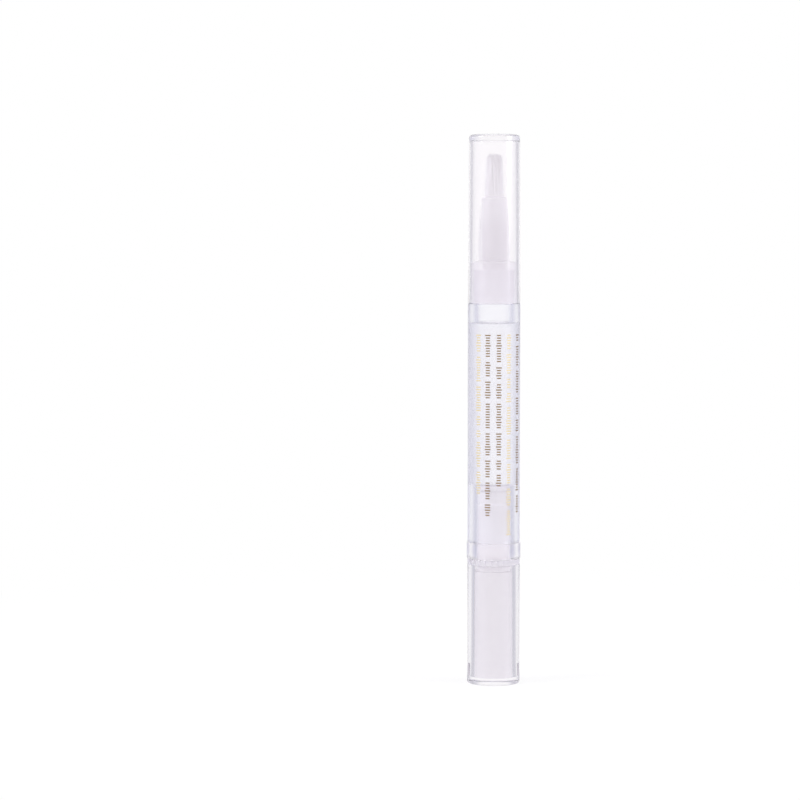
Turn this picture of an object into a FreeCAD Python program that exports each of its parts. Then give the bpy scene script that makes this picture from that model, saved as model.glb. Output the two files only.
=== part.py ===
import FreeCAD, Part
import os
import Sketcher

# Nail oil pen, standing on its twist knob with the cap on.
# Millimetres. +Z runs up the pen's axis, and the knob's foot lies at z = 0.
# Each piece is drawn from its own foot and placed at its level in the pen.

SIZES = {
    # knob
    "knob_length": 29.3,
    "knob_proud": 0.05,
    "knob_wall": 1.75,
    "knob_floor": 1.6,
    "knob_foot_round": 0.35,
    "knob_rim_round": 0.12,
    "mouth_room": 0.3,
    "key_height": 3.0,
    "key_width": 1.2,
    "key_depth": 1.2,
    "key_count": 2,
    # ratchet
    "tooth_count": 24,
    "tooth_depth": 0.35,
    "tooth_share": 0.87,
    "ratchet_height": 1.2,
    "ratchet_wall": 0.35,
    "pawl_thickness": 0.25,
    "pawl_gap": 0.2,
    "pawl_count": 3,
    "pawl_pitches": 3,
    "pawl_root_share": 0.15,
    "pawl_tip_share": 0.6,
    "pawl_play_share": 0.04,
    # ring and barrel
    "running_gap": 0.2,
    "ring_length": 3.7,
    "ring_proud": 0.2,
    "ring_edge_round": 0.15,
    "barrel_diameter": 12.2,
    "barrel_length": 55.7,
    "barrel_wall": 2.2,
    "barrel_edge_round": 0.12,
    "neck_length": 8.1,
    "neck_share": 0.583,
    "neck_round_share": 0.4,
    "snap_width": 1.2,
    "snap_level_share": 0.5,
    "snap_height_share": 0.3,
    # cap
    "cap_length": 39.1,
    "cap_proud": 0.02,
    "cap_taper": 0.2,
    "cap_wall": 0.8,
    "cap_roof": 1.5,
    "cap_top_round": 0.8,
    "cap_inner_round": 0.4,
    "cap_rim_round": 0.1,
    # nozzle
    "collar_rise": 1.6,
    "collar_edge": 0.2,
    "collar_bead": 0.08,
    "collar_bead_width": 1.0,
    "collar_bead_share": 0.8,
    "shoulder_rise": 0.3,
    "cone_foot_diameter": 7.2,
    "cone_top_diameter": 5.6,
    "cone_length": 14.7,
    "cone_bow": 98.0,
    "cone_top_round_share": 0.78,
    "cone_bore": 5.4,
    "outlet_length": 6.1,
    "skirt_length": 3.5,
    "skirt_wall": 0.7,
    # brush
    "brush_diameter": 4.6,
    "brush_end_diameter": 3.76,
    "brush_room": 3.0,
    "brush_end_round": 0.7,
    "root_length": 2.0,
    "funnel_diameter": 3.2,
    "funnel_depth": 2.0,
    "tube_diameter": 1.6,
    "tube_bore": 0.9,
    "tube_cover": 5.1,
    # piston and oil
    "piston_length": 5.5,
    "lip_reach": 0.52,
    "lip_lead": 0.67,
    "lip_height": 0.5,
    "lip_slope": 0.5,
    "lip_edge": 0.1,
    "socket_depth": 2.3,
    "air_space": 4.5,
    "meniscus_height": 0.8,
    "meniscus_width": 1.0,
    # screw drive
    "flat_depth": 0.45,
    "rod_foot_gap": 0.8,
    "rod_foot_bevel": 0.4,
    "rod_neck_share": 0.6875,
    "rod_neck_length": 1.2,
    "rod_head_step": 0.05,
    "rod_head_rim": 0.7,
    "rod_head_length": 1.9,
    "rod_tip_share": 0.4375,
    "thread_lead": 2.5,
    "thread_depth": 0.55,
    "thread_foot_width": 1.35,
    "thread_crest_width": 0.75,
    "thread_bite": 0.15,
    "thread_margin": 1.2,
    "guide_reach": 7.8,
    "guide_drop": 3.0,
    "guide_web": 2.6,
    "guide_wall": 0.82,
    "nut_wall": 0.9,
    "nut_deck": 1.5,
    "nut_neck_wall": 0.55,
    "nut_thread_length": 4.7,
    "nut_lip": 0.28,
    "nut_lip_height": 1.4,
    "nut_lip_rim": 0.8,
    # fits
    "cap_fit": 0.17,
    "press_gap": 0.03,
    "running_fit": 0.05,
    "axial_play": 0.1,
    "thread_fit": 0.1,
    "thread_relief": 0.25,
    "flank_fit": 0.08,
    "pawl_fit": 0.08,
    "rest_gap": 0.2,
    "oil_film": 0.03,
}

# circles are matched to within this when their rims are rounded
NEAR = 0.0001

doc = FreeCAD.newDocument("NailOilPen")
sheet = doc.addObject("Spreadsheet::Sheet", "Sizes")
for row, (name, value) in enumerate(SIZES.items(), start=1):
    sheet.set(f"A{row}", name)
    sheet.set(f"B{row}", str(value))
    sheet.setAlias(f"B{row}", name)
doc.recompute()


class Size:
    """A size with its number now and its formula on the sheet."""

    def __init__(self, number, formula):
        self.number = number
        self.formula = formula

    def __add__(self, other):
        return Size(self.number + other.number, f"({self.formula} + {other.formula})")

    def __sub__(self, other):
        return Size(self.number - other.number, f"({self.formula} - {other.formula})")

    def __neg__(self):
        return Size(-self.number, f"(-1 * {self.formula})")

    def __mul__(self, other):
        return Size(self.number * other.number, f"({self.formula} * {other.formula})")

    def __truediv__(self, other):
        return Size(self.number / other.number, f"({self.formula} / {other.formula})")

    def whole(self):
        return Size(self.number // 1, f"floor({self.formula})")


def count(number):
    return Size(number, str(number))


def size(name):
    return Size(float(sheet.get(name)), f"Sizes.{name}")


def half(name):
    return size(name) / count(2)


ZERO = count(0)


def polar(radius, degrees):
    """The place at a radius and an angle about the pen's axis."""
    swing = FreeCAD.Rotation(FreeCAD.Vector(0, 0, 1), degrees.number)
    spot = swing.multVec(FreeCAD.Vector(radius.number, 0, 0))
    across = Size(spot.x, f"({radius.formula} * cos({degrees.formula} * 1 deg))")
    up = Size(spot.y, f"({radius.formula} * sin({degrees.formula} * 1 deg))")
    return across, up


# Sketches and features

def new_body(label, level):
    body = doc.addObject("PartDesign::Body", label)
    body.Label = label
    if level is not ZERO:
        body.setExpression("Placement.Base.z", level.formula)
    return body


def new_sketch(body, name, role, level=ZERO):
    sketch = body.newObject("Sketcher::SketchObject", name)
    plane = [item for item in body.Origin.OriginFeatures if item.Role == role][0]
    sketch.AttachmentSupport = (plane, [""])
    sketch.MapMode = "FlatFace"
    if level is not ZERO:
        sketch.setExpression("AttachmentOffset.Base.z", level.formula)
    return sketch


def hold(sketch, kind, line, value, axis):
    """Hold a line's start at a distance from the origin, or on an axis."""
    if value is ZERO:
        sketch.addConstraint(Sketcher.Constraint("PointOnObject", line, 1, axis))
        return
    number = sketch.addConstraint(Sketcher.Constraint(kind, -1, 1, line, 1, value.number))
    sketch.setExpression(f"Constraints[{number}]", value.formula)


def draw(sketch, corners):
    """A closed run through corners that the sheet holds.

    A corner with a third size starts an arc of that radius, which bows outward.
    """
    first = sketch.GeometryCount
    total = len(corners)
    spots = [FreeCAD.Vector(corner[0].number, corner[1].number, 0) for corner in corners]
    for place, corner in enumerate(corners):
        start = spots[place]
        end = spots[(place + 1) % total]
        if len(corner) == 2:
            sketch.addGeometry(Part.LineSegment(start, end))
        else:
            sketch.addGeometry(bow(start, end, corner[2].number))
    for place in range(total):
        following = first + (place + 1) % total
        sketch.addConstraint(Sketcher.Constraint("Coincident", first + place, 2, following, 1))
    for place, corner in enumerate(corners):
        hold(sketch, "DistanceX", first + place, corner[0], -2)
        hold(sketch, "DistanceY", first + place, corner[1], -1)
        if len(corner) == 3:
            number = sketch.addConstraint(Sketcher.Constraint("Radius", first + place, corner[2].number))
            sketch.setExpression(f"Constraints[{number}]", corner[2].formula)


def bow(start, end, radius):
    """An arc from start to end, turning left."""
    chord = end - start
    left = FreeCAD.Vector(-chord.y, chord.x, 0).normalize()
    depth = (radius ** 2 - chord.Length ** 2 / 4) ** 0.5
    centre = (start + end) / 2 + left * depth
    level = FreeCAD.Vector(0, 0, 1)
    circle = Part.Circle(centre, level, radius)
    return Part.ArcOfCircle(circle, circle.parameter(start), circle.parameter(end))


def draw_double_d(sketch, radius, flat):
    """A round hole with two flats, above and below the sketch's level axis."""
    reach = (radius.number ** 2 - flat.number ** 2) ** 0.5
    corners = [
        FreeCAD.Vector(reach, -flat.number, 0),
        FreeCAD.Vector(reach, flat.number, 0),
        FreeCAD.Vector(-reach, flat.number, 0),
        FreeCAD.Vector(-reach, -flat.number, 0),
    ]
    sketch.addGeometry(bow(corners[0], corners[1], radius.number))
    sketch.addGeometry(Part.LineSegment(corners[1], corners[2]))
    sketch.addGeometry(bow(corners[2], corners[3], radius.number))
    sketch.addGeometry(Part.LineSegment(corners[3], corners[0]))
    for line in range(4):
        sketch.addConstraint(Sketcher.Constraint("Coincident", line, 2, (line + 1) % 4, 1))
    for arc in (0, 2):
        sketch.addConstraint(Sketcher.Constraint("Coincident", arc, 3, -1, 1))
    number = sketch.addConstraint(Sketcher.Constraint("Radius", 0, radius.number))
    sketch.setExpression(f"Constraints[{number}]", radius.formula)
    for line, side in ((1, flat), (3, -flat)):
        sketch.addConstraint(Sketcher.Constraint("Horizontal", line))
        hold(sketch, "DistanceY", line, side, -1)


def turn(body, name, corners, degrees=None):
    """Revolve an outline of radius and height about the pen's axis."""
    sketch = new_sketch(body, name + "_outline", "XZ_Plane")
    draw(sketch, corners)
    solid = body.newObject("PartDesign::Revolution", name)
    solid.Profile = sketch
    solid.ReferenceAxis = (sketch, ["V_Axis"])
    solid.Angle = 360
    if degrees is not None:
        solid.setExpression("Angle", degrees.formula)
    doc.recompute()
    return solid


def turned(label, level, corners):
    body = new_body(label, level)
    turn(body, label + "_turned", corners)
    return body


def round_rims(body, name, radius, rims):
    """Round the circles at each radius and height."""
    base = body.Tip
    names = []
    for across, up in rims:
        for number, edge in enumerate(base.Shape.Edges, start=1):
            if not isinstance(edge.Curve, Part.Circle):
                continue
            off_radius = abs(edge.Curve.Radius - across.number)
            off_level = abs(edge.Curve.Center.z - up.number)
            if max(off_radius, off_level) < NEAR:
                names.append(f"Edge{number}")
    fillet = body.newObject("PartDesign::Fillet", name)
    fillet.Base = (base, names)
    fillet.setExpression("Radius", radius.formula)
    doc.recompute()


def prism(body, kind, name, sketch, length, upward):
    """Pad or pocket a sketch on the level plane, up or down."""
    feature = body.newObject("PartDesign::" + kind, name)
    feature.Profile = sketch
    feature.setExpression("Length", length.formula)
    feature.Reversed = upward == (kind == "Pocket")
    doc.recompute()
    return feature


def repeat(body, name, features, number):
    """Repeat features evenly about the pen's axis."""
    pattern = body.newObject("PartDesign::PolarPattern", name)
    pattern.Originals = features
    axis = [item for item in body.Origin.OriginFeatures if item.Role == "Z_Axis"][0]
    pattern.Axis = (axis, [""])
    pattern.Angle = 360
    pattern.setExpression("Occurrences", number.formula)
    body.Tip = pattern
    doc.recompute()


def thread(body, kind, name, corners, height):
    """A left-hand thread of one start, swept from an outline."""
    sketch = new_sketch(body, name + "_outline", "XZ_Plane")
    draw(sketch, corners)
    feature = body.newObject("PartDesign::" + kind, name)
    feature.Profile = sketch
    feature.ReferenceAxis = (sketch, ["V_Axis"])
    feature.Mode = "pitch-height-angle"
    feature.LeftHanded = True
    feature.setExpression("Pitch", size("thread_lead").formula)
    feature.setExpression("Height", height.formula)
    doc.recompute()


def rectangle(left, right, low, high):
    return [(left, low), (right, low), (right, high), (left, high)]


# Levels from the knob's foot

ring_foot = size("knob_length") + size("running_gap")
barrel_foot = ring_foot + size("ring_length")
seat = barrel_foot + size("barrel_length")
guide_foot = ring_foot - size("guide_drop")
guide_top = barrel_foot + size("guide_reach")
web_foot = guide_top - size("guide_web")
piston_foot = guide_top + size("axial_play")
piston_top = piston_foot + size("piston_length")
rod_foot = size("knob_floor") + size("rod_foot_gap")
nut_foot = size("knob_floor")
nut_top = web_foot - size("rest_gap")
lip_foot = nut_top - size("nut_lip_height")
nozzle_foot = seat + size("axial_play")
deck_foot = seat + size("neck_length")
cone_top = deck_foot + size("collar_rise") + size("shoulder_rise") + size("cone_length")
outlet_step = cone_top - size("outlet_length")
cap_roof_foot = size("cap_length") - size("cap_roof")
brush_end = seat + cap_roof_foot - size("brush_room")

# Radii that several pieces share

barrel_outer = half("barrel_diameter")
bore = barrel_outer - size("barrel_wall")
ring_outer = barrel_outer + size("ring_proud")
knob_outer = barrel_outer + size("knob_proud")
knob_bore = knob_outer - size("knob_wall")
guide_radius = bore - size("press_gap")
journal = guide_radius - size("guide_wall")
nut_neck = journal - size("running_fit")
nut_relief = nut_neck - size("nut_neck_wall")
rod_crest = nut_relief - size("thread_relief")
rod_core = rod_crest - size("thread_depth")
rod_flat = rod_crest - size("flat_depth")
rod_head = rod_core - size("rod_head_step")
rod_neck = rod_head * size("rod_neck_share")
cap_outer_foot = barrel_outer + size("cap_proud")
cap_outer_top = cap_outer_foot - size("cap_taper")
cap_inner_foot = cap_outer_foot - size("cap_wall")
cap_inner_top = cap_outer_top - size("cap_wall")
collar_reach = (size("neck_length") + size("collar_rise")) / cap_roof_foot
cap_inner_collar = cap_inner_foot - size("cap_taper") * collar_reach
collar = cap_inner_collar - size("cap_fit")
neck = bore + (collar - bore) * size("neck_share")
snap_height = (collar - neck) * size("snap_height_share")
outlet = half("brush_diameter") + size("running_fit")
tube = half("tube_diameter")
tube_hole = tube + size("press_gap")
ratchet_outer = bore + size("ratchet_wall")
pawl_inner = ratchet_outer + size("pawl_gap")
pawl_outer = pawl_inner + size("pawl_thickness")
mouth = pawl_outer + size("running_fit") + size("running_fit")
tooth_root = mouth + size("tooth_depth")

# Angles of the ratchet

pitch = count(360) / size("tooth_count")
tooth_start = pitch / count(2)
tooth_wall = tooth_start + pitch * size("tooth_share")
pawl_end = tooth_wall + pitch * (size("pawl_pitches") - size("pawl_play_share"))

# Knob: thick clear cup with a toothed mouth and keys on its floor

mouth_floor = size("knob_length") - size("ratchet_height") - size("mouth_room")
knob = turned("knob", ZERO, [
    (ZERO, ZERO),
    (knob_outer, ZERO),
    (knob_outer, size("knob_length")),
    (mouth, size("knob_length")),
    (mouth, mouth_floor),
    (knob_bore, mouth_floor),
    (knob_bore, size("knob_floor")),
    (ZERO, size("knob_floor")),
])
round_rims(knob, "knob_foot_rounding", size("knob_foot_round"), [(knob_outer, ZERO)])
round_rims(knob, "knob_rim_rounding", size("knob_rim_round"), [(knob_outer, size("knob_length"))])
tooth_sketch = new_sketch(knob, "tooth_outline", "XY_Plane", size("knob_length"))
draw(tooth_sketch, [
    polar(bore, tooth_start),
    polar(mouth, tooth_start),
    polar(tooth_root, tooth_wall),
    polar(bore, tooth_wall),
])
tooth_height = size("ratchet_height") + size("rest_gap")
tooth = prism(knob, "Pocket", "tooth", tooth_sketch, tooth_height, False)
repeat(knob, "teeth", [tooth], size("tooth_count"))
key_sketch = new_sketch(knob, "key_outline", "XY_Plane", size("knob_floor"))
draw(key_sketch, rectangle(
    knob_bore - size("key_depth"),
    (knob_bore + knob_outer) / count(2),
    -half("key_width"),
    half("key_width"),
))
key = prism(knob, "Pad", "key", key_sketch, size("key_height"), True)
repeat(knob, "keys", [key], size("key_count"))

# Drive nut: sleeve that the knob's keys turn, with a threaded neck that snaps into the guide

sleeve = knob_bore - size("press_gap")
sleeve_bore = sleeve - size("nut_wall")
nut_deck_top = guide_foot - size("axial_play") - nut_foot
nut_minor = rod_core + size("thread_fit")
nut_thread_foot = nut_top - size("nut_thread_length")
drive_nut = turned("drive_nut", nut_foot, [
    (sleeve_bore, ZERO),
    (sleeve, ZERO),
    (sleeve, nut_deck_top),
    (nut_neck, nut_deck_top),
    (nut_neck, lip_foot - nut_foot),
    (nut_neck + size("nut_lip"), lip_foot - nut_foot),
    (nut_neck + size("nut_lip"), lip_foot + size("nut_lip_rim") - nut_foot),
    (nut_neck, nut_top - nut_foot),
    (nut_minor, nut_top - nut_foot),
    (nut_minor, nut_thread_foot - nut_foot),
    (nut_relief, nut_thread_foot - nut_foot),
    (nut_relief, nut_deck_top - size("nut_deck")),
    (sleeve_bore, nut_deck_top - size("nut_deck")),
])
slot_sketch = new_sketch(drive_nut, "slot_outline", "XY_Plane")
draw(slot_sketch, rectangle(
    rod_crest,
    knob_outer,
    -half("key_width") - size("press_gap"),
    half("key_width") + size("press_gap"),
))
slot = prism(drive_nut, "Pocket", "slot", slot_sketch, size("key_height") + size("axial_play"), True)
repeat(drive_nut, "slots", [slot], size("key_count"))
rod_thread_foot = rod_foot + size("thread_margin")
turns_below = ((nut_thread_foot - rod_thread_foot) / size("thread_lead")).whole() - count(1)
groove_level = rod_thread_foot + size("thread_lead") * turns_below - nut_foot
groove_foot = half("thread_foot_width") + size("flank_fit")
groove_crest = half("thread_crest_width") + size("flank_fit")
groove_root = rod_crest + size("thread_fit")
thread(drive_nut, "SubtractiveHelix", "nut_thread", [
    (rod_core, groove_level - groove_foot),
    (groove_root, groove_level - groove_crest),
    (groove_root, groove_level + groove_crest),
    (rod_core, groove_level + groove_foot),
], nut_top - nut_foot - groove_level + size("thread_lead"))

# Screw rod: threaded, with two flats and a snap head

rod_top = piston_foot - rod_foot
head_foot = rod_top + size("rod_neck_length")
screw_rod = turned("screw_rod", rod_foot, [
    (ZERO, ZERO),
    (rod_core - size("rod_foot_bevel"), ZERO),
    (rod_core, size("rod_foot_bevel")),
    (rod_core, rod_top),
    (rod_neck, rod_top),
    (rod_neck, head_foot),
    (rod_head, head_foot),
    (rod_head, head_foot + size("rod_head_rim")),
    (rod_head * size("rod_tip_share"), head_foot + size("rod_head_length")),
    (ZERO, head_foot + size("rod_head_length")),
])
thread(screw_rod, "AdditiveHelix", "rod_thread", [
    (rod_core - size("thread_bite"), size("thread_margin") - half("thread_foot_width")),
    (rod_crest, size("thread_margin") - half("thread_crest_width")),
    (rod_crest, size("thread_margin") + half("thread_crest_width")),
    (rod_core - size("thread_bite"), size("thread_margin") + half("thread_foot_width")),
], rod_top - size("thread_margin") - size("thread_margin"))
flat_sketch = new_sketch(screw_rod, "flat_outline", "XY_Plane")
flat_reach = rod_crest + rod_crest
draw(flat_sketch, rectangle(-flat_reach, flat_reach, rod_flat, flat_reach))
draw(flat_sketch, rectangle(-flat_reach, flat_reach, -flat_reach, -rod_flat))
prism(screw_rod, "Pocket", "flats", flat_sketch, rod_top, True)

# Guide sleeve: fixed in the barrel's foot, with a web that keeps the rod from turning

lip_room = journal + size("nut_lip")
lip_seat = lip_foot - size("axial_play") - guide_foot
guide_sleeve = turned("guide_sleeve", guide_foot, [
    (journal, ZERO),
    (guide_radius, ZERO),
    (guide_radius, guide_top - guide_foot),
    (ZERO, guide_top - guide_foot),
    (ZERO, web_foot - guide_foot),
    (lip_room, web_foot - guide_foot),
    (lip_room, lip_seat),
    (journal, lip_seat),
])
web_sketch = new_sketch(guide_sleeve, "web_outline", "XY_Plane", guide_top - guide_foot)
draw_double_d(web_sketch, rod_crest + size("running_fit"), rod_flat + size("running_fit"))
prism(guide_sleeve, "Pocket", "web_hole", web_sketch, size("guide_web") + size("rest_gap"), False)

# Ratchet ring: three spring pawls in the toothed mouth of the knob

pawl_middle = (pawl_outer + pawl_inner) / count(2)
pawl_foot = size("axial_play")
pawl_top = size("ratchet_height") - size("axial_play")
ratchet_ring = turned("ratchet_ring", ring_foot - size("ratchet_height"), rectangle(
    bore, ratchet_outer, ZERO, size("ratchet_height"),
))
arm = turn(ratchet_ring, "pawl_arm", rectangle(pawl_inner, pawl_outer, pawl_foot, pawl_top), pawl_end)
root = turn(ratchet_ring, "pawl_root", rectangle(
    (bore + ratchet_outer) / count(2), pawl_middle, pawl_foot, pawl_top,
), pawl_end * size("pawl_root_share"))
tip_start = pawl_end - pitch * size("pawl_tip_share")
tip_sketch = new_sketch(ratchet_ring, "tip_outline", "XY_Plane", pawl_foot)
draw(tip_sketch, [
    polar(pawl_middle, tip_start),
    polar(pawl_outer, tip_start),
    polar(tooth_root - size("pawl_fit"), pawl_end),
    polar(pawl_middle, pawl_end),
])
tip = prism(ratchet_ring, "Pad", "pawl_tip", tip_sketch, pawl_top - pawl_foot, True)
repeat(ratchet_ring, "pawls", [arm, root, tip], size("pawl_count"))

# Clear ring between knob and barrel

mid_ring = turned("mid_ring", ring_foot, rectangle(bore, ring_outer, ZERO, size("ring_length")))
round_rims(mid_ring, "ring_rounding", size("ring_edge_round"), [
    (ring_outer, ZERO),
    (ring_outer, size("ring_length")),
])

# Barrel: thick clear tube with a neck and a snap bead for the nozzle

barrel_top = size("barrel_length") + size("neck_length")
snap_level = size("barrel_length") + size("neck_length") * size("snap_level_share")
snap_foot = half("snap_width")
snap_crest = snap_foot / count(2)
barrel = turned("barrel", barrel_foot, [
    (bore, ZERO),
    (barrel_outer, ZERO),
    (barrel_outer, size("barrel_length")),
    (neck, size("barrel_length")),
    (neck, snap_level - snap_foot),
    (neck + snap_height, snap_level - snap_crest),
    (neck + snap_height, snap_level + snap_crest),
    (neck, snap_level + snap_foot),
    (neck, barrel_top),
    (bore, barrel_top),
])
round_rims(barrel, "barrel_rounding", size("barrel_edge_round"), [
    (barrel_outer, ZERO),
    (barrel_outer, size("barrel_length")),
])
round_rims(barrel, "neck_rounding", (neck - bore) * size("neck_round_share"), [(neck, barrel_top)])

# Piston: plug with two wiper lips and a snap socket for the rod

socket_foot = size("rod_neck_length")
socket = rod_head + size("thread_fit")
socket_neck = rod_neck + size("running_fit")
lower_lip = size("lip_slope") + size("lip_height")
upper_lip = size("piston_length") - lower_lip
piston = turned("piston", piston_foot, [
    (socket_neck, ZERO),
    (guide_radius - size("lip_edge"), ZERO),
    (guide_radius, size("lip_edge")),
    (guide_radius, lower_lip),
    (guide_radius - size("lip_reach"), lower_lip + size("lip_slope")),
    (guide_radius - size("lip_reach"), upper_lip - size("lip_slope")),
    (guide_radius, upper_lip),
    (guide_radius, upper_lip + size("lip_height")),
    (guide_radius - size("lip_lead"), size("piston_length")),
    (ZERO, size("piston_length")),
    (ZERO, socket_foot + size("socket_depth")),
    (socket, socket_foot + size("socket_depth")),
    (socket, socket_foot),
    (socket_neck, socket_foot),
])

# Oil: column on the piston with a climbing edge at the wall

oil_radius = bore - size("oil_film")
oil_height = seat - size("air_space") - piston_top
oil = turned("oil", piston_top, [
    (ZERO, ZERO),
    (oil_radius, ZERO),
    (oil_radius, oil_height + size("meniscus_height")),
    (oil_radius - size("meniscus_width"), oil_height),
    (ZERO, oil_height),
])

# Nozzle: collar on the neck, plug skirt in the bore, ogive cone

collar_bore = neck + size("press_gap")
shoulder = collar - size("collar_edge")
deck = deck_foot - nozzle_foot
collar_top = deck + size("collar_rise")
cone_foot = collar_top + size("shoulder_rise")
cone_tip = cone_foot + size("cone_length")
grip_level = collar_top * size("collar_bead_share")
grip_foot = half("collar_bead_width")
grip_crest = grip_foot / count(2)
groove_middle = barrel_foot + snap_level - nozzle_foot
groove_side = snap_foot + size("axial_play")
groove_floor = snap_crest + size("axial_play")
skirt_foot = deck - size("skirt_length")
nozzle = turned("nozzle", nozzle_foot, [
    (collar_bore, ZERO),
    (collar, ZERO),
    (collar, grip_level - grip_foot),
    (collar + size("collar_bead"), grip_level - grip_crest),
    (collar + size("collar_bead"), grip_level + grip_crest),
    (collar, grip_level + grip_foot),
    (collar, collar_top - size("collar_edge")),
    (shoulder, collar_top),
    (half("cone_foot_diameter"), cone_foot, size("cone_bow")),
    (half("cone_top_diameter"), cone_tip),
    (outlet, cone_tip),
    (outlet, cone_tip - size("outlet_length")),
    (half("cone_bore"), cone_tip - size("outlet_length")),
    (half("cone_bore"), deck),
    (guide_radius - size("skirt_wall"), deck),
    (guide_radius - size("skirt_wall"), skirt_foot),
    (guide_radius, skirt_foot),
    (guide_radius, deck),
    (collar_bore, deck),
    (collar_bore, groove_middle + groove_side),
    (collar_bore + snap_height, groove_middle + groove_floor),
    (collar_bore + snap_height, groove_middle - groove_floor),
    (collar_bore, groove_middle - groove_side),
])
cone_rim = half("cone_top_diameter") - outlet
round_rims(nozzle, "cone_top_rounding", cone_rim * size("cone_top_round_share"), [
    (half("cone_top_diameter"), cone_tip),
])

# Brush: bristles, the fused root under the cone's step, its retainer and the feed tube

root_foot = outlet_step - size("root_length")
brush_top = brush_end - outlet_step
tube_top = brush_top - size("tube_cover")
hole_top = tube_top + size("rest_gap")
plug = half("cone_bore") - size("press_gap")
bristles = turned("bristles", outlet_step, [
    (tube_hole, ZERO),
    (half("brush_diameter"), ZERO),
    (half("brush_diameter"), size("outlet_length")),
    (half("brush_end_diameter"), brush_top),
    (ZERO, brush_top),
    (ZERO, hole_top),
    (tube_hole, hole_top),
])
round_rims(bristles, "brush_end_rounding", size("brush_end_round"), [
    (half("brush_end_diameter"), brush_top),
])
brush_root = turned("brush_root", root_foot, rectangle(tube_hole, plug, ZERO, size("root_length")))
brush_retainer = turned("brush_retainer", deck_foot, [
    (half("funnel_diameter"), ZERO),
    (plug, ZERO),
    (plug, root_foot - deck_foot),
    (tube_hole, root_foot - deck_foot),
    (tube_hole, size("funnel_depth")),
    (half("funnel_diameter"), size("funnel_depth")),
])
tube_foot = deck_foot + size("funnel_depth")
feed_tube = turned("feed_tube", tube_foot, rectangle(
    half("tube_bore"), tube, ZERO, outlet_step + tube_top - tube_foot,
))

# Cap: thin clear cup that slides over the nozzle

cap = turned("cap", seat, [
    (cap_inner_foot, ZERO),
    (cap_outer_foot, ZERO),
    (cap_outer_top, size("cap_length")),
    (ZERO, size("cap_length")),
    (ZERO, cap_roof_foot),
    (cap_inner_top, cap_roof_foot),
])
round_rims(cap, "cap_top_rounding", size("cap_top_round"), [(cap_outer_top, size("cap_length"))])
round_rims(cap, "cap_inner_rounding", size("cap_inner_round"), [(cap_inner_top, cap_roof_foot)])
round_rims(cap, "cap_rim_rounding", size("cap_rim_round"), [(cap_outer_foot, ZERO)])

# Pieces out to files

doc.recompute()
for item in doc.Objects:
    if "Invalid" in item.State or "Error" in item.State:
        raise RuntimeError(f"{item.Label} did not build")

os.makedirs("parts", exist_ok=True)
for body in doc.findObjects("PartDesign::Body"):
    if body.Shape.isNull() or not body.Shape.isValid() or len(body.Shape.Solids) != 1:
        raise RuntimeError(f"{body.Label} is not one sound solid")
    body.Shape.exportStep(f"parts/{body.Label}.step")
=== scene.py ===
import math
import random

import bmesh
import bpy
from mathutils import Matrix, Vector


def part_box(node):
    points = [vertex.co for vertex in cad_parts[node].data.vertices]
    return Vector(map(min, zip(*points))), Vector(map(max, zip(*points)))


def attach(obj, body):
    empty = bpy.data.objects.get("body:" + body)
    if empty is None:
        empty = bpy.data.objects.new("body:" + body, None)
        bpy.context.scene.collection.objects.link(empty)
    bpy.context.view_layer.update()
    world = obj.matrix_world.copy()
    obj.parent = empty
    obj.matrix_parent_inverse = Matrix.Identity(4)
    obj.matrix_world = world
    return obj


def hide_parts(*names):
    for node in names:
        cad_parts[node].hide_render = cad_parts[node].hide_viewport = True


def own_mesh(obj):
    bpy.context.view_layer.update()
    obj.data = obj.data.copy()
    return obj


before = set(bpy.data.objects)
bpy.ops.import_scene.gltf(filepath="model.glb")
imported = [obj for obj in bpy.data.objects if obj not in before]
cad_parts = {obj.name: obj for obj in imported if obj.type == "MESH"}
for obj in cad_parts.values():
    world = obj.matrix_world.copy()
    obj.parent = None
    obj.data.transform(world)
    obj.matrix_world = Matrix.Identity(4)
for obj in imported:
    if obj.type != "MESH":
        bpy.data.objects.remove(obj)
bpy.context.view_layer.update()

# Nail oil pen on its twist knob, cap on. The frame is in metres, and the sizes below are in millimetres.

MM = 0.001
STEPS = 192
SHARP_ANGLE = math.radians(32)
SEAM = 0.05
MERGE = 0.0001
RIM_NEAR = 0.002
ROUND_SEGMENTS = 6
FRONT_ANGLE = -90.0
UP = Vector((0, 0, 1))

# cap
CAP_WALL = 0.8
CAP_ROOF = 1.5
CAP_TAPER = 0.2
CAP_TOP_ROUND = 0.8
CAP_INNER_ROUND = 0.4
CAP_RIM_ROUND = 0.1

# barrel and ring
BARREL_WALL = 2.2
BARREL_ROUND = 0.12
NECK_RADIUS = 4.6
NECK_LENGTH = 8.1
NECK_ROUND = 0.28
SNAP_HEIGHT = 0.15
SNAP_WIDTH = 1.2
RING_ROUND = 0.15

# knob
KNOB_WALL = 1.75
KNOB_FLOOR = 1.6
KNOB_FOOT_ROUND = 0.35
KNOB_RIM_ROUND = 0.12
MOUTH_RADIUS = 4.8
MOUTH_DEPTH = 1.5
TOOTH_COUNT = 24
TOOTH_DEPTH = 0.35
TOOTH_HEIGHT = 1.4
TOOTH_LAND = 0.02
TOOTH_START = 0.5
TOOTH_CLIMB = 7 / 8
TOOTH_SLACK = 0.01
KEY_COUNT = 2
KEY_WIDTH = 1.2
KEY_DEPTH = 1.2
KEY_HEIGHT = 3.0

# nozzle
COLLAR_RADIUS = 5.1
COLLAR_EDGE = 0.2
COLLAR_RISE = 1.6
GRIP_HEIGHT = 0.08
GRIP_WIDTH = 1.0
GRIP_SHARE = 0.8
SHOULDER_RISE = 0.3
CONE_FOOT_RADIUS = 3.6
CONE_TOP_RADIUS = 2.8
CONE_BOW = 98.0
CONE_POINTS = 12
CONE_TOP_ROUND = 0.35
CONE_BORE = 2.7
OUTLET_BORE = 2.35
OUTLET_LENGTH = 6.1
SKIRT_LENGTH = 3.5
SKIRT_WALL = 0.7
PRESS_GAP = 0.03

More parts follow.
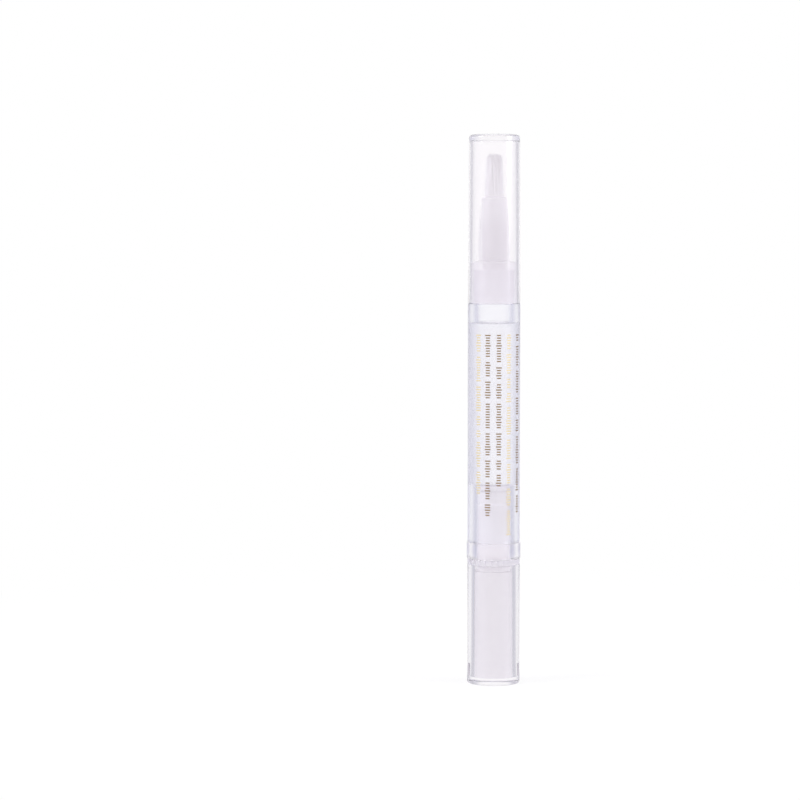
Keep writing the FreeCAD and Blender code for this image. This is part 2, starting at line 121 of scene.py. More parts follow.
# brush
FILAMENT_COUNT = 520
FILAMENT_RADIUS = 0.1
FILAMENT_TIP = 0.055
FILAMENT_PARTS = 4
FILAMENT_SIDES = 6
TIP_SPREAD = 0.25
BRUSH_RADIUS = 2.3
BRUSH_END_RADIUS = 1.86
BRUSH_END_ROUND = 1.0
BRUSH_SEED = 7
TUBE_RADIUS = 0.8

# guide and piston, both drawn lower by a drop that hides the play between the drive's pieces
GUIDE_DROP = 0.08
GUIDE_WALL = 0.82
GUIDE_INSET = 0.01
GUIDE_LAP = 0.3
PISTON_DROP = 0.08
LIP_REACH = 0.52
LIP_SLOPE = 0.5
LIP_HEIGHT = 0.5
LIP_LEAD = 0.67
SOCKET_NECK = 1.15
SOCKET_RADIUS = 1.7
SOCKET_FOOT = 1.2
SOCKET_DEPTH = 2.3

# oil
OIL_OVERLAP = 0.03
MENISCUS_POINTS = 8
MENISCUS_RISE = 0.4
MENISCUS_DROP = 0.8
MENISCUS_POWER = 6

# foil lines: angle from the front in degrees, level of the lower end, foil
# the bars are drawn coarser than they would be stamped, which would be too fine to see
FOIL_LINES = (
    (-38.0, 43.3, "gold"),
    (-15.6, 37.7, "brown"),
    (8.8, 46.8, "brown"),
    (32.4, 34.8, "gold"),
    (60.0, 38.8, "brown"),
)
FOIL_TOP = 81.8
FOIL_GROUP = (1.6, 6.5)
FOIL_SPACE = 0.9
BAR_PITCH = 0.6
BAR_HEIGHT = 0.28
BAR_WIDTHS = (0.95, 0.95, 1.3)
BAR_STEPS = 3
FOIL_LIFT = 0.012
FOIL_THICKNESS = 0.015
FOIL_SEED = 11

# view of the photograph
EYE = Vector((-21.9, -600.0, 106.0)) * MM
AIM = Vector((-21.9, 0.0, 66.36)) * MM
LENS = 116.0
CLIP_START = 10.0


# Meshes

def lathe(outline, rounds=(), steps=STEPS):
    """A closed outline of (radius, level) in millimetres, spun about the pen's axis, with rims rounded."""
    bm = bmesh.new()
    points = [bm.verts.new((radius * MM, 0, level * MM)) for radius, level in outline]
    for start, end in zip(points, points[1:] + points[:1]):
        if start.co.x or end.co.x:
            bm.edges.new((start, end))
    bmesh.ops.spin(bm, geom=points + bm.edges[:], axis=UP, angle=math.tau, steps=steps, use_merge=True)
    bmesh.ops.remove_doubles(bm, verts=bm.verts, dist=MERGE * MM)
    bmesh.ops.recalc_face_normals(bm, faces=bm.faces)
    for radius, level, size in rounds:
        round_rim(bm, radius, level, size)
    return bm


def round_rim(bm, radius, level, size):
    """Round the rim that lies at a radius and a level."""
    rim = [edge for edge in bm.edges if all(on_rim(vert, radius, level) for vert in edge.verts)]
    bmesh.ops.bevel(bm, geom=rim, offset=size * MM, segments=ROUND_SEGMENTS, profile=0.5,
                    affect="EDGES", material=-1)


def on_rim(vert, radius, level):
    near = RIM_NEAR * MM
    return abs(vert.co.xy.length - radius * MM) < near and abs(vert.co.z - level * MM) < near


def bow(start, end, radius, count):
    """Points between start and end on an outward arc."""
    first, last = Vector(start), Vector(end)
    chord = last - first
    inward = Vector((-chord.y, chord.x)).normalized()
    centre = (first + last) / 2 + inward * math.sqrt(radius ** 2 - chord.length_squared / 4)
    spoke = first - centre
    swing = spoke.angle_signed(last - centre)
    turns = [Matrix.Rotation(-swing * number / count, 2) for number in range(1, count)]
    return [tuple(centre + turn @ spoke) for turn in turns]


def piece(bm, name, material, body, slot, *nodes):
    """Make the object, ride it on its body and stand it in for its nodes."""
    for face in bm.faces:
        face.smooth = True
    for edge in bm.edges:
        edge.smooth = edge.calc_face_angle(0) < SHARP_ANGLE
    mesh = bpy.data.meshes.new(name)
    bm.to_mesh(mesh)
    bm.free()
    mesh.materials.append(material)
    made = bpy.data.objects.new(name, mesh)
    bpy.context.scene.collection.objects.link(made)
    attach(made, body)
    if nodes:
        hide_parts(*nodes)
    return made


def span(node):
    """A node's radius and its lowest and highest level, in millimetres."""
    low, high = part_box(node)
    return high.x / MM, low.z / MM, high.z / MM


# Materials

def srgb(code):
    """Linear colour of an sRGB hex value."""
    channels = [int(code[place:place + 2], 16) / 255 for place in (1, 3, 5)]
    linear = [c / 12.92 if c <= 0.04045 else ((c + 0.055) / 1.055) ** 2.4 for c in channels]
    return (*linear, 1)


def add(tree, kind, inputs=None, **settings):
    """Add a node with its settings, and set or link its inputs."""
    made = tree.nodes.new(kind)
    for name, value in settings.items():
        setattr(made, name, value)
    for socket, value in (inputs or {}).items():
        if isinstance(value, bpy.types.NodeSocket):
            tree.links.new(value, made.inputs[socket])
        else:
            made.inputs[socket].default_value = value
    return made


def per_mm(size):
    """Texture scale that repeats at a real size in millimetres."""
    return 1 / (size * MM)


def new_material(name):
    material = bpy.data.materials.new(name)
    material.use_nodes = True
    material.node_tree.nodes.clear()
    return material, material.node_tree


def ripple(tree, size, depth, stretch=(1, 1, 1)):
    """Bump of slow waves, of a size and a depth in millimetres."""
    place = add(tree, "ShaderNodeTexCoord")
    scaled = add(tree, "ShaderNodeMapping", {"Vector": place.outputs["Object"], "Scale": stretch})
    waves = add(tree, "ShaderNodeTexNoise", {
        "Vector": scaled.outputs["Vector"], "Scale": per_mm(size), "Detail": 2.0, "Roughness": 0.45,
    })
    bump = add(tree, "ShaderNodeBump", {
        "Height": waves.outputs["Fac"], "Strength": 1.0, "Distance": depth * MM,
    })
    return waves, bump


def let_light_in(tree, shader):
    """Let lamplight and scattered light straight through a clear wall, to light what it holds."""
    path = add(tree, "ShaderNodeLightPath")
    through = add(tree, "ShaderNodeBsdfTransparent", {"Color": srgb("#FCFBFD")})
    for ray in ("Is Shadow Ray", "Is Diffuse Ray"):
        mixed = add(tree, "ShaderNodeMixShader", {
            "Fac": path.outputs[ray], 1: shader, 2: through.outputs["BSDF"],
        })
        shader = mixed.outputs["Shader"]
    return shader


def clear_shell(name, colour, smooth, rough, clear, cast, density):
    """Clear styrene plastic from a mould: softly glassy, with slow flow ripples and a cast in depth.

    It is polished outside, and left frosted where the mould cuts teeth.
    """
    material, tree = new_material(name)
    waves, bump = ripple(tree, 5.0, 0.002, (1, 1, 0.25))
    gloss = add(tree, "ShaderNodeMapRange", {
        "Value": waves.outputs["Fac"], "To Min": smooth, "To Max": rough,
    })
    shader = add(tree, "ShaderNodeBsdfPrincipled", {
        "Base Color": srgb(colour), "Roughness": gloss.outputs["Result"], "IOR": 1.53,
        "Transmission Weight": clear, "Normal": bump.outputs["Normal"],
    })
    depth = add(tree, "ShaderNodeVolumeAbsorption", {"Color": srgb(cast), "Density": density})
    add(tree, "ShaderNodeOutputMaterial", {
        "Surface": let_light_in(tree, shader.outputs["BSDF"]), "Volume": depth.outputs["Volume"],
    })
    return material


def milky_plastic(name, cover, dark, light):
    """Natural polypropylene, satin moulded: cloudy, lets light through and veils what is behind."""
    material, tree = new_material(name)
    waves, bump = ripple(tree, 1.2, 0.01)
    tone = add(tree, "ShaderNodeMix", {
        "Factor": waves.outputs["Fac"], "A": srgb(dark), "B": srgb(light),
    }, data_type="RGBA")
    shader = add(tree, "ShaderNodeBsdfPrincipled", {
        "Base Color": tone.outputs["Result"], "Roughness": 0.45, "IOR": 1.49, "Alpha": cover,
        "Normal": bump.outputs["Normal"],
    })
    add(tree, "ShaderNodeOutputMaterial", {"Surface": shader.outputs["BSDF"]})
    return material


def soft_plug():
    """Soft polyethylene plug, satin: cloudier than the drive around it."""
    material, tree = new_material("soft_polyethylene")
    waves, bump = ripple(tree, 0.8, 0.008)
    tone = add(tree, "ShaderNodeMix", {
        "Factor": waves.outputs["Fac"], "A": srgb("#F4F2F4"), "B": srgb("#FAF9FA"),
    }, data_type="RGBA")
    shader = add(tree, "ShaderNodeBsdfPrincipled", {
        "Base Color": tone.outputs["Result"], "Roughness": 0.5, "IOR": 1.51, "Alpha": 0.9,
        "Normal": bump.outputs["Normal"],
    })
    add(tree, "ShaderNodeOutputMaterial", {"Surface": shader.outputs["BSDF"]})
    return material


def white_plastic(name, dark, light):
    """White acetal, moulded: opaque, with a waxy sheen and a faint mould grain."""
    material, tree = new_material(name)
    waves, bump = ripple(tree, 0.6, 0.006)
    tone = add(tree, "ShaderNodeMix", {
        "Factor": waves.outputs["Fac"], "A": srgb(dark), "B": srgb(light),
    }, data_type="RGBA")
    shader = add(tree, "ShaderNodeBsdfPrincipled", {
        "Base Color": tone.outputs["Result"], "Roughness": 0.4, "IOR": 1.48,
        "Normal": bump.outputs["Normal"],
    })
    add(tree, "ShaderNodeOutputMaterial", {"Surface": shader.outputs["BSDF"]})
    return material


def nylon():
    """Nylon filament, drawn: pale and glossy, with tones that change from strand to strand."""
    material, tree = new_material("nylon_filament")
    place = add(tree, "ShaderNodeTexCoord")
    along = add(tree, "ShaderNodeMapping", {"Vector": place.outputs["Object"], "Scale": (1, 1, 0.04)})
    strands = add(tree, "ShaderNodeTexNoise", {
        "Vector": along.outputs["Vector"], "Scale": per_mm(0.35), "Detail": 1.0,
    })
    tone = add(tree, "ShaderNodeMix", {
        "Factor": strands.outputs["Fac"], "A": srgb("#E8E6E7"), "B": srgb("#FAF9FA"),
    }, data_type="RGBA")
    shader = add(tree, "ShaderNodeBsdfPrincipled", {
        "Base Color": tone.outputs["Result"], "Roughness": 0.38, "IOR": 1.53,
    })
    add(tree, "ShaderNodeOutputMaterial", {"Surface": shader.outputs["BSDF"]})
    return material


def clear_tube():
    """Extruded polyethylene tube: thin, cloudy, with drawn lines along it."""
    material, tree = new_material("extruded_polyethylene")
    waves, bump = ripple(tree, 0.4, 0.005, (1, 1, 0.05))
    gloss = add(tree, "ShaderNodeMapRange", {
        "Value": waves.outputs["Fac"], "To Min": 0.12, "To Max": 0.3,
    })
    shader = add(tree, "ShaderNodeBsdfPrincipled", {
        "Base Color": srgb("#E6E3EA"), "Roughness": gloss.outputs["Result"], "IOR": 1.51,
        "Alpha": 0.5, "Normal": bump.outputs["Normal"],
    })
    add(tree, "ShaderNodeOutputMaterial", {"Surface": shader.outputs["BSDF"]})
    return material


def clear_oil():
    """Light nail oil: clear, still, with a faint warm cast in depth."""
    material, tree = new_material("nail_oil")
    bump = ripple(tree, 6.0, 0.004)[1]
    shader = add(tree, "ShaderNodeBsdfPrincipled", {
        "Base Color": srgb("#FDFDFE"), "Roughness": 0.1, "IOR": 1.47, "Transmission Weight": 1.0,
        "Normal": bump.outputs["Normal"],
    })
    depth = add(tree, "ShaderNodeVolumeAbsorption", {"Color": srgb("#E9E4EA"), "Density": 12.0})
    add(tree, "ShaderNodeOutputMaterial", {
        "Surface": let_light_in(tree, shader.outputs["BSDF"]), "Volume": depth.outputs["Volume"],
    })
    return material


def foil(name, dark, light):
    """Hot-stamped foil: metal film with a fine pebble and rubbed spots."""
    material, tree = new_material(name)
    waves, bump = ripple(tree, 0.25, 0.01)
    tone = add(tree, "ShaderNodeMix", {
        "Factor": waves.outputs["Fac"], "A": srgb(dark), "B": srgb(light),
    }, data_type="RGBA")
    shader = add(tree, "ShaderNodeBsdfPrincipled", {
        "Base Color": tone.outputs["Result"], "Roughness": 0.38, "Metallic": 0.6,
        "Normal": bump.outputs["Normal"],
    })
    add(tree, "ShaderNodeOutputMaterial", {"Surface": shader.outputs["BSDF"]})
    return material


# Pieces

def make_cap(material):
    radius, foot, top = span("cap")
    foot += SEAM
    roof = top - CAP_ROOF
    crown = radius - CAP_TAPER
    bm = lathe([
        (radius - CAP_WALL, foot), (radius, foot), (crown, top), (0, top),
        (0, roof), (crown - CAP_WALL, roof),
    ], [
        (crown, top, CAP_TOP_ROUND), (crown - CAP_WALL, roof, CAP_INNER_ROUND),
        (radius, foot, CAP_RIM_ROUND),
    ])
    piece(bm, "cap_shell", material, "cap", "clear_shell", "cap")


def make_barrel(material):
    radius, foot, top = span("barrel")
    foot += SEAM
    bore = radius - BARREL_WALL
    seat = top - NECK_LENGTH
    snap = seat + NECK_LENGTH / 2
    bm = lathe([
        (bore, foot), (radius, foot), (radius, seat), (NECK_RADIUS, seat),
        (NECK_RADIUS, snap - SNAP_WIDTH / 2),
        (NECK_RADIUS + SNAP_HEIGHT, snap - SNAP_WIDTH / 4),
        (NECK_RADIUS + SNAP_HEIGHT, snap + SNAP_WIDTH / 4),
        (NECK_RADIUS, snap + SNAP_WIDTH / 2),
        (NECK_RADIUS, top), (bore, top),
    ], [(radius, foot, BARREL_ROUND), (radius, seat, BARREL_ROUND), (NECK_RADIUS, top, NECK_ROUND)])
    piece(bm, "barrel_shell", material, "barrel", "clear_shell", "barrel")


def make_ring(material):
    radius, foot, top = span("mid_ring")
    bore = span("barrel")[0] - BARREL_WALL
    bm = lathe([(bore, foot), (radius, foot), (radius, top), (bore, top)],
               [(radius, foot, RING_ROUND), (radius, top, RING_ROUND)])
    piece(bm, "ring_shell", material, "barrel", "clear_shell", "mid_ring")


def make_knob(material, mouth_material):
    radius, foot, top = span("knob")
    bore = radius - KNOB_WALL
    root = MOUTH_RADIUS + TOOTH_DEPTH
    shelf = foot + KNOB_FLOOR + SEAM
    bm = lathe([
        (0, foot), (radius, foot), (radius, top), (root, top), (root, top - TOOTH_HEIGHT),
        (MOUTH_RADIUS, top - TOOTH_HEIGHT), (MOUTH_RADIUS, top - MOUTH_DEPTH), (bore, top - MOUTH_DEPTH),
        (bore, foot + KNOB_FLOOR + KEY_HEIGHT), (bore, shelf),
        (bore, foot + KNOB_FLOOR), (0, foot + KNOB_FLOOR),
    ], [(radius, foot, KNOB_FOOT_ROUND), (radius, top, KNOB_RIM_ROUND)])
    cut_teeth(bm, root, top)
    raise_keys(bm, bore, shelf, foot + KNOB_FLOOR + KEY_HEIGHT)
    for face in bm.faces:
        spot = face.calc_center_median()
        if spot.z > (top - TOOTH_HEIGHT - SEAM) * MM and spot.xy.length < (root + SEAM) * MM:
            face.material_index = 1
    made = piece(bm, "knob_shell", material, "knob", "clear_shell", "knob")
    made.data.materials.append(mouth_material)


def cut_teeth(bm, root, top):
    """Pull the mouth's wall in to a saw tooth that starts half a pitch round from +X."""
    pitch = math.tau / TOOTH_COUNT
    rise = TOOTH_DEPTH - TOOTH_LAND
    for vert in bm.verts:
        if on_rim(vert, root, top) or on_rim(vert, root, top - TOOTH_HEIGHT):
            turn = math.atan2(vert.co.y, vert.co.x) / pitch - TOOTH_START
            share = min(1, (turn - math.floor(turn + TOOTH_SLACK)) / TOOTH_CLIMB)
            vert.co.xy *= (root - rise * (1 - max(0, share))) / root


def raise_keys(bm, bore, foot, top):
    """Push patches of the bore's wall inward as keys."""
    for number in range(KEY_COUNT):
        way = Vector((1, 0, 0))
        way.rotate(Matrix.Rotation(math.tau * number / KEY_COUNT, 3, UP))
        across = UP.cross(way)
        patch = [face for face in bm.faces
                 if on_key(face.calc_center_median(), way, across, bore, foot, top)]
        raised = bmesh.ops.extrude_face_region(bm, geom=patch)["geom"]
        verts = [item for item in raised if isinstance(item, bmesh.types.BMVert)]
        bmesh.ops.translate(bm, verts=verts, vec=-way * KEY_DEPTH * MM)
        bmesh.ops.delete(bm, geom=patch, context="FACES")


def on_key(spot, way, across, bore, foot, top):
    on_wall = abs(spot.xy.length - bore * MM) < SEAM * MM
    between = foot * MM < spot.z < top * MM
    return on_wall and between and spot.dot(way) > 0 and abs(spot.dot(across)) < KEY_WIDTH / 2 * MM


def make_nozzle(material):
    foot, top = span("nozzle")[1:]
    seat = span("barrel")[2] - NECK_LENGTH
    deck = seat + NECK_LENGTH
    collar_top = deck + COLLAR_RISE
    cone_foot = collar_top + SHOULDER_RISE
    collar_bore = NECK_RADIUS + PRESS_GAP
    skirt = span("barrel")[0] - BARREL_WALL - PRESS_GAP
    grip = foot + (collar_top - foot) * GRIP_SHARE
    snap = seat + NECK_LENGTH / 2
    cone = [(CONE_FOOT_RADIUS, cone_foot), (CONE_TOP_RADIUS, top)]
    bm = lathe([
        (collar_bore, foot), (COLLAR_RADIUS, foot), (COLLAR_RADIUS, grip - GRIP_WIDTH / 2),
        (COLLAR_RADIUS + GRIP_HEIGHT, grip - GRIP_WIDTH / 4),
        (COLLAR_RADIUS + GRIP_HEIGHT, grip + GRIP_WIDTH / 4),
        (COLLAR_RADIUS, grip + GRIP_WIDTH / 2), (COLLAR_RADIUS, collar_top - COLLAR_EDGE),
        (COLLAR_RADIUS - COLLAR_EDGE, collar_top),
        cone[0], *bow(*cone, CONE_BOW, CONE_POINTS), cone[1],
        (OUTLET_BORE, top), (OUTLET_BORE, top - OUTLET_LENGTH), (CONE_BORE, top - OUTLET_LENGTH),
        (CONE_BORE, deck), (skirt - SKIRT_WALL, deck), (skirt - SKIRT_WALL, deck - SKIRT_LENGTH),
        (skirt, deck - SKIRT_LENGTH), (skirt, deck), (collar_bore, deck),
        (collar_bore, snap + SNAP_WIDTH / 2 + SEAM),
        (collar_bore + SNAP_HEIGHT, snap + SNAP_WIDTH / 4 + SEAM),
        (collar_bore + SNAP_HEIGHT, snap - SNAP_WIDTH / 4 - SEAM),
        (collar_bore, snap - SNAP_WIDTH / 2 - SEAM),
    ], [(CONE_TOP_RADIUS, top, CONE_TOP_ROUND)])
    piece(bm, "nozzle_shell", material, "barrel", "milky_plastic", "nozzle")


def make_guide_foot(material):
    """Thin ring under the guide's foot, so that only a hair's breadth shows above the nut's deck."""
    radius, foot = span("guide_sleeve")[:2]
    outer = radius - GUIDE_INSET
    inner = radius - GUIDE_WALL + GUIDE_INSET
    bm = lathe([
        (inner, foot - GUIDE_DROP), (outer, foot - GUIDE_DROP),
        (outer, foot + GUIDE_LAP), (inner, foot + GUIDE_LAP),
    ])
    piece(bm, "guide_foot", material, "barrel", "milky_plastic")


def make_piston(material):
    """Plug with two wiper lips, let down until only a hair's breadth shows above the guide."""
    radius, foot, top = span("piston")
    rest = foot - PISTON_DROP
    waist = radius - LIP_REACH
    lower = foot + LIP_HEIGHT + LIP_SLOPE
    upper = top - LIP_HEIGHT - LIP_SLOPE
    socket = foot + SOCKET_FOOT
    bm = lathe([
        (SOCKET_NECK, rest), (radius, rest), (radius, lower), (waist, lower + LIP_SLOPE),
        (waist, upper - LIP_SLOPE), (radius, upper), (radius, upper + LIP_HEIGHT), (radius - LIP_LEAD, top),
        (0, top), (0, socket + SOCKET_DEPTH), (SOCKET_RADIUS, socket + SOCKET_DEPTH),
        (SOCKET_RADIUS, socket), (SOCKET_NECK, socket),
    ])
    piece(bm, "piston_plug", material, "plunger", "soft_plug", "piston")


def make_oil(material):
    foot, top = span("oil")[1:]
    bore = span("barrel")[0] - BARREL_WALL + OIL_OVERLAP
    level = top - MENISCUS_DROP - MENISCUS_RISE
    climb = [number / MENISCUS_POINTS for number in range(MENISCUS_POINTS + 1)]
    surface = [(bore * share, level + MENISCUS_RISE * share ** MENISCUS_POWER) for share in reversed(climb)]
    bm = lathe([(0, foot), (bore, foot), *surface])
    made = piece(bm, "oil_column", material, "barrel", "oil", "oil")
    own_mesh(made)


def make_bristles(material):
    """Filaments laid out as a sunflower's seeds, drawn together towards a round end."""
    foot, top = span("bristles")[1:]
    outlet = span("nozzle")[2]
    tube_top = span("feed_tube")[2]
    chance = random.Random(BRUSH_SEED)
    golden = math.pi * (3 - math.sqrt(5))
    bm = lathe([
        (0, 0), *[(FILAMENT_RADIUS, part) for part in range(FILAMENT_PARTS)],
        (FILAMENT_TIP, FILAMENT_PARTS), (0, FILAMENT_PARTS),
    ], steps=FILAMENT_SIDES)
    pattern = bm.verts[:] + bm.edges[:] + bm.faces[:]
    for number in range(FILAMENT_COUNT):
        share = math.sqrt((number + 0.5) / FILAMENT_COUNT)
        root = (BRUSH_RADIUS - FILAMENT_RADIUS) * share
        over = max(0, (BRUSH_END_RADIUS * share - BRUSH_END_RADIUS + BRUSH_END_ROUND) / BRUSH_END_ROUND)
        drop = BRUSH_END_ROUND * (1 - math.sqrt(1 - over ** 2))
        start = foot if root > TUBE_RADIUS + FILAMENT_RADIUS else tube_top
        end = top - drop - chance.uniform(0, TIP_SPREAD)
        way = Matrix.Rotation(golden * number, 3, UP) @ Vector((1, 0, 0))
        lean = UP.cross(way) * chance.uniform(-TIP_SPREAD, TIP_SPREAD)
        for item in bmesh.ops.duplicate(bm, geom=pattern)["geom"]:
            if isinstance(item, bmesh.types.BMVert):
                level = start + (end - start) * item.co.z / MM / FILAMENT_PARTS
                rise = max(0, (level - outlet) / (top - outlet))
                drawn = root * (1 - rise * (1 - BRUSH_END_RADIUS / BRUSH_RADIUS))
                item.co.z = level * MM
                item.co += (way * drawn + lean * rise) * MM
    first = [item for item in pattern if isinstance(item, bmesh.types.BMVert)]
    bmesh.ops.delete(bm, geom=first, context="VERTS")
    piece(bm, "brush_filaments", material, "barrel", "nylon", "bristles")


def make_foil(gold, brown):
    """Rows of plain foil bars along the barrel, in groups."""
    radius = span("barrel")[0]
    chance = random.Random(FOIL_SEED)
    shapes = {"gold": bmesh.new(), "brown": bmesh.new()}
    for angle, low, tone in FOIL_LINES:
        level = FOIL_TOP
        while level > low + FOIL_GROUP[0]:
            foot = max(low, level - chance.uniform(*FOIL_GROUP))
            while level > foot:
                lay_bar(shapes[tone], radius, math.radians(angle + FRONT_ANGLE), level,
                        chance.choice(BAR_WIDTHS))
                level -= BAR_PITCH
            level -= FOIL_SPACE
    piece(shapes["gold"], "foil_gold", gold, "barrel", None)
    piece(shapes["brown"], "foil_brown", brown, "barrel", None)


def lay_bar(bm, radius, angle, top, width):
    """One bar: an upright edge swept across the barrel's face and given its thickness."""
    swing = width / radius
    way = Matrix.Rotation(angle - swing / 2, 3, UP) @ Vector((radius + FOIL_LIFT, 0, 0))
    ends = [bm.verts.new((way + UP * level) * MM) for level in (top - BAR_HEIGHT, top)]
    edge = bm.edges.new(ends)
    swept = bmesh.ops.spin(bm, geom=ends + [edge], axis=UP, angle=swing, steps=BAR_STEPS)
    reached = {vert for vert in swept["geom_last"] if isinstance(vert, bmesh.types.BMVert)}
    for _ in range(BAR_STEPS):
        reached |= {edge.other_vert(vert) for vert in reached for edge in vert.link_edges}
    faces = list({face for vert in reached for face in vert.link_faces})
    bmesh.ops.recalc_face_normals(bm, faces=faces)
    bmesh.ops.solidify(bm, geom=faces, thickness=FOIL_THICKNESS * MM)


shell = clear_shell("clear_styrene_moulded", "#FFFEFF", 0.1, 0.16, 1.0, "#D6D2DE", 8.0)
tinted = clear_shell("clear_styrene_tinted", "#FEFEFF", 0.14, 0.2, 1.0, "#C8CAE6", 20.0)
polished = clear_shell("clear_styrene_polished", "#FFFEFF", 0.08, 0.14, 1.0, "#D6D2DE", 8.0)
frosted = clear_shell("clear_styrene_frosted", "#F6F5F8", 0.4, 0.55, 0.46, "#D6D2DE", 8.0)
thin_milky = milky_plastic("milky_polypropylene_thin", 0.5, "#F4F2F4", "#FAF9FA")
# the same milky polypropylene in two tones: a darker copy on the drive nut and ratchet ring is painted
# shade at the knob's mouth, a paler copy on the guide is painted light for the lower barrel
milky_shaded = milky_plastic("milky_polypropylene_shaded", 0.9, "#EBE9EB", "#F1F0F1")
milky_lit = milky_plastic("milky_polypropylene_lit", 0.9, "#F3F1F3", "#F9F8F9")
fibre = nylon()
white = white_plastic("white_acetal", "#ECEAEC", "#F4F2F4")
# acetal for the brush's retainer and root, wet with oil and darkened further as painted shade for the
# nozzle's dim core
oiled_and_shaded = white_plastic("oiled_acetal_shaded", "#CFC8CE", "#D9D3D8")
make_cap(shell)
make_barrel(tinted)
make_ring(shell)
make_knob(polished, frosted)
make_nozzle(thin_milky)
make_guide_foot(milky_lit)
make_piston(soft_plug())
make_oil(clear_oil())
make_bristles(fibre)
make_foil(foil("foil_gold", "#DCC890", "#F2E6C4"), foil("foil_brown", "#806846", "#A68C68"))
for node, material in (
    ("guide_sleeve", milky_lit), ("drive_nut", milky_shaded), ("ratchet_ring", milky_shaded),
    ("screw_rod", white), ("brush_retainer", oiled_and_shaded), ("brush_root", oiled_and_shaded), ("feed_tube", clear_tube()),
):
    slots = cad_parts[node].data.materials
    slots.clear()
    slots.append(material)


# Studio

# tones around the pen by angle from straight behind it, in degrees to either side:
# the cap mirrors the sky, the upper barrel the surround, the lower barrel and the ring the low sides,
# the knob the cards, and its foot a painted contact shadow on the floor it touches
SKY = (
    (0, "#FEFDFE"), (24, "#FCFBFC"), (32, "#E2E1E8"), (42, "#C6C5CE"), (54, "#CECDD6"), (70, "#E6E5EC"),
    (90, "#F6F5F8"), (180, "#FCFBFC"),
)
SURROUND = (
    (0, "#FEFDFE"), (25, "#FCFBFC"), (38, "#F1F0F6"), (52, "#E4E3EE"), (65, "#DEDDEA"), (80, "#E2E2EC"),
    (100, "#EEEDF3"), (125, "#F6F5F8"), (180, "#FCFBFC"),
)
LOW_SIDES = (
    (0, "#FEFDFE"), (20, "#F4F3F8"), (34, "#DBDAE7"), (52, "#C9C9DC"), (65, "#C6C6DA"), (80, "#D4D4E4"),
    (100, "#EAE9F1"), (125, "#F4F3F7"), (180, "#FCFBFC"),
)
CARDS = (
    (0, "#FEFDFE"), (25, "#FCFBFC"), (34, "#EAE9EE"), (43, "#D0CFD7"), (60, "#CAC9D2"), (70, "#DEDDE5"),
    (80, "#EAE9EF"), (100, "#F2F1F5"), (125, "#F6F5F8"), (180, "#FCFBFC"),
)
# painted contact shadow: the floor right by the pen is dark to gloss and clear plastic only, and white to
# the camera
CONTACT_SHADOW = (
    (0, "#FEFDFE"), (26, "#FAF9FB"), (33, "#D8D7DD"), (40, "#A8A7AF"), (52, "#ACABB3"), (62, "#E0DFE5"),
    (98, "#F8F7FA"), (180, "#FAF9FB"),
)
UNDER = ((0, "#FCFBFD"), (180, "#FAF9FB"))
# reach on the floor in metres over which each set of tones comes in
ZONES = (
    (0.0052, 0.0062, CONTACT_SHADOW), (0.01, 0.018, CARDS), (0.165, 0.173, LOW_SIDES),
    (0.5, 0.508, SURROUND),
)
# also in metres
FLOOR_GAP = 0.0001
FLOOR_SIZE = 4.0
SHADOW_REACH = (0.03, 0.2)
LAMP_AIM = Vector((0, 0, 0.064))
# share of the floor's white that is its own near the pen; the shadow takes from the rest
NEAR_GLOW = 0.75
HALF_TURN = 180
# light passes many walls on its way through the nested shells
WALL_BOUNCES = 48
GLOSS_BOUNCES = 24
MATT_BOUNCES = 12


def side_tones(tree, way, stops):
    """Tone of the surround along a direction from the pen."""
    parts = add(tree, "ShaderNodeSeparateXYZ", {"Vector": way})
    sweep = add(tree, "ShaderNodeMath", {0: parts.outputs["X"], 1: parts.outputs["Y"]}, operation="ARCTAN2")
    side = add(tree, "ShaderNodeMath", {0: sweep.outputs["Value"]}, operation="ABSOLUTE")
    turn = add(tree, "ShaderNodeMapRange", {"Value": side.outputs["Value"], "From Max": math.pi})
    tones = add(tree, "ShaderNodeValToRGB", {"Fac": turn.outputs["Result"]})
    ramp = tones.color_ramp
    while len(ramp.elements) < len(stops):
        ramp.elements.new(1.0)
    for element, (angle, tone) in zip(ramp.elements, stops):
        element.position = angle / HALF_TURN
        element.color = srgb(tone)
    return tones.outputs["Color"]


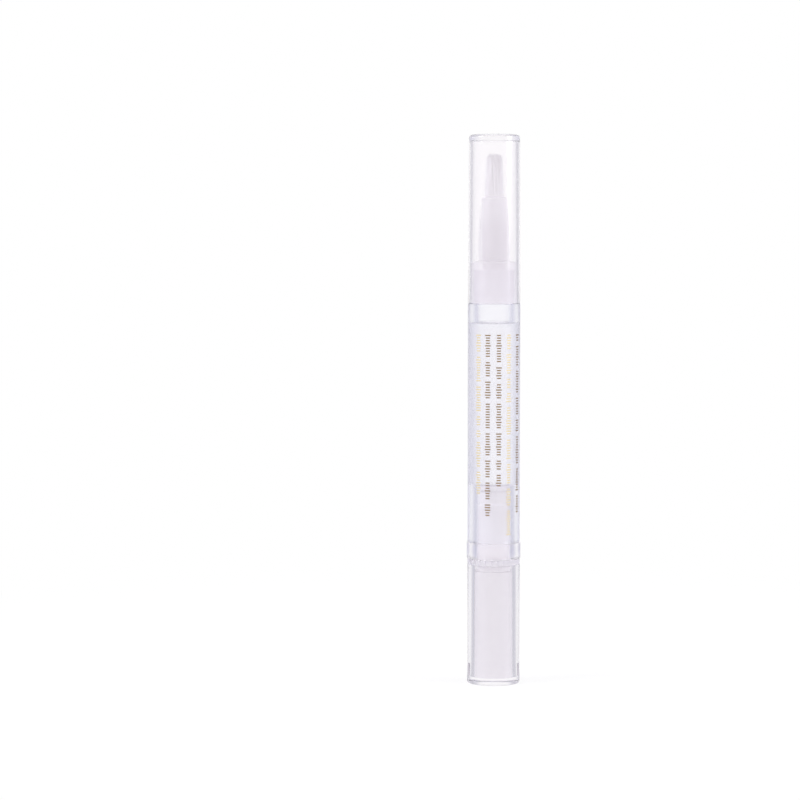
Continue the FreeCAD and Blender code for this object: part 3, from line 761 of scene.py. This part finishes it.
def make_floor():
    """Pale floor that keeps the shadow near the pen and turns to plain white with distance.

    Gloss and clear plastic see it glow in the tones of its zones instead: painted reflections of grey
    sides, and a painted contact shadow right by the pen.
    """
    bm = bmesh.new()
    bmesh.ops.create_grid(bm, x_segments=1, y_segments=1, size=FLOOR_SIZE)
    bmesh.ops.translate(bm, verts=bm.verts, vec=-UP * FLOOR_GAP)
    mesh = bpy.data.meshes.new("floor")
    bm.to_mesh(mesh)
    bm.free()
    floor = bpy.data.objects.new("floor", mesh)
    bpy.context.scene.collection.objects.link(floor)
    material, tree = new_material("floor_white")
    place = add(tree, "ShaderNodeTexCoord")
    reach = add(tree, "ShaderNodeVectorMath", {"Vector": place.outputs["Object"]}, operation="LENGTH")
    fade = add(tree, "ShaderNodeMapRange", {
        "Value": reach.outputs["Value"], "From Min": SHADOW_REACH[0], "From Max": SHADOW_REACH[1],
        "To Min": NEAR_GLOW, "To Max": 1.0,
    })
    matt = add(tree, "ShaderNodeBsdfDiffuse", {"Color": srgb("#FFFFFF")})
    glow = add(tree, "ShaderNodeEmission", {"Color": srgb("#FFFFFF"), "Strength": 1.0})
    seen = add(tree, "ShaderNodeMixShader", {
        "Fac": fade.outputs["Result"], 1: matt.outputs["BSDF"], 2: glow.outputs["Emission"],
    })
    tone = side_tones(tree, place.outputs["Object"], UNDER)
    for start, end, stops in ZONES:
        step = add(tree, "ShaderNodeMapRange", {
            "Value": reach.outputs["Value"], "From Min": start, "From Max": end,
        })
        zone = add(tree, "ShaderNodeMix", {
            "Factor": step.outputs["Result"], "A": tone,
            "B": side_tones(tree, place.outputs["Object"], stops),
        }, data_type="RGBA")
        tone = zone.outputs["Result"]
    sides = add(tree, "ShaderNodeEmission", {"Color": tone, "Strength": 1.0})
    path = add(tree, "ShaderNodeLightPath")
    both = add(tree, "ShaderNodeMixShader", {
        "Fac": path.outputs["Is Camera Ray"], 1: sides.outputs["Emission"], 2: seen.outputs["Shader"],
    })
    add(tree, "ShaderNodeOutputMaterial", {"Surface": both.outputs["Shader"]})
    mesh.materials.append(material)


def make_surround():
    """White sweep behind and before the pen with grey sides, seen in gloss and through clear plastic."""
    world = bpy.data.worlds.new("studio")
    bpy.context.scene.world = world
    world.use_nodes = True
    tree = world.node_tree
    tree.nodes.clear()
    place = add(tree, "ShaderNodeTexCoord")
    path = add(tree, "ShaderNodeLightPath")
    seen = add(tree, "ShaderNodeMix", {
        "Factor": path.outputs["Is Camera Ray"], "A": side_tones(tree, place.outputs["Generated"], SKY),
        "B": srgb("#FFFFFF"),
    }, data_type="RGBA")
    glow = add(tree, "ShaderNodeBackground", {"Color": seen.outputs["Result"], "Strength": 1.0})
    add(tree, "ShaderNodeOutputWorld", {"Surface": glow.outputs["Background"]})


def make_lamp(name, place, size, power):
    lamp = bpy.data.lights.new(name, "AREA")
    lamp.shape = "DISK"
    lamp.size = size
    lamp.energy = power
    made = bpy.data.objects.new(name, lamp)
    made.location = place
    aim = LAMP_AIM - made.location
    made.rotation_euler = aim.to_track_quat("-Z", "Y").to_euler()
    bpy.context.scene.collection.objects.link(made)


def make_camera():
    lens = bpy.data.cameras.new("photograph_view")
    lens.lens = LENS
    lens.clip_start = CLIP_START * MM
    made = bpy.data.objects.new("photograph_view", lens)
    made.location = EYE
    made.rotation_euler = (AIM - EYE).to_track_quat("-Z", "Y").to_euler()
    bpy.context.scene.collection.objects.link(made)
    bpy.context.scene.camera = made


make_floor()
make_surround()
make_lamp("key", (-0.65, -0.24, 0.45), 0.35, 1.7)
make_lamp("fill", (0.65, -0.2, 0.35), 0.4, 1.3)
make_camera()
bpy.context.scene.view_settings.view_transform = "Standard"
bpy.context.scene.cycles.max_bounces = WALL_BOUNCES
bpy.context.scene.cycles.transmission_bounces = WALL_BOUNCES
bpy.context.scene.cycles.transparent_max_bounces = WALL_BOUNCES
bpy.context.scene.cycles.glossy_bounces = GLOSS_BOUNCES
bpy.context.scene.cycles.diffuse_bounces = MATT_BOUNCES
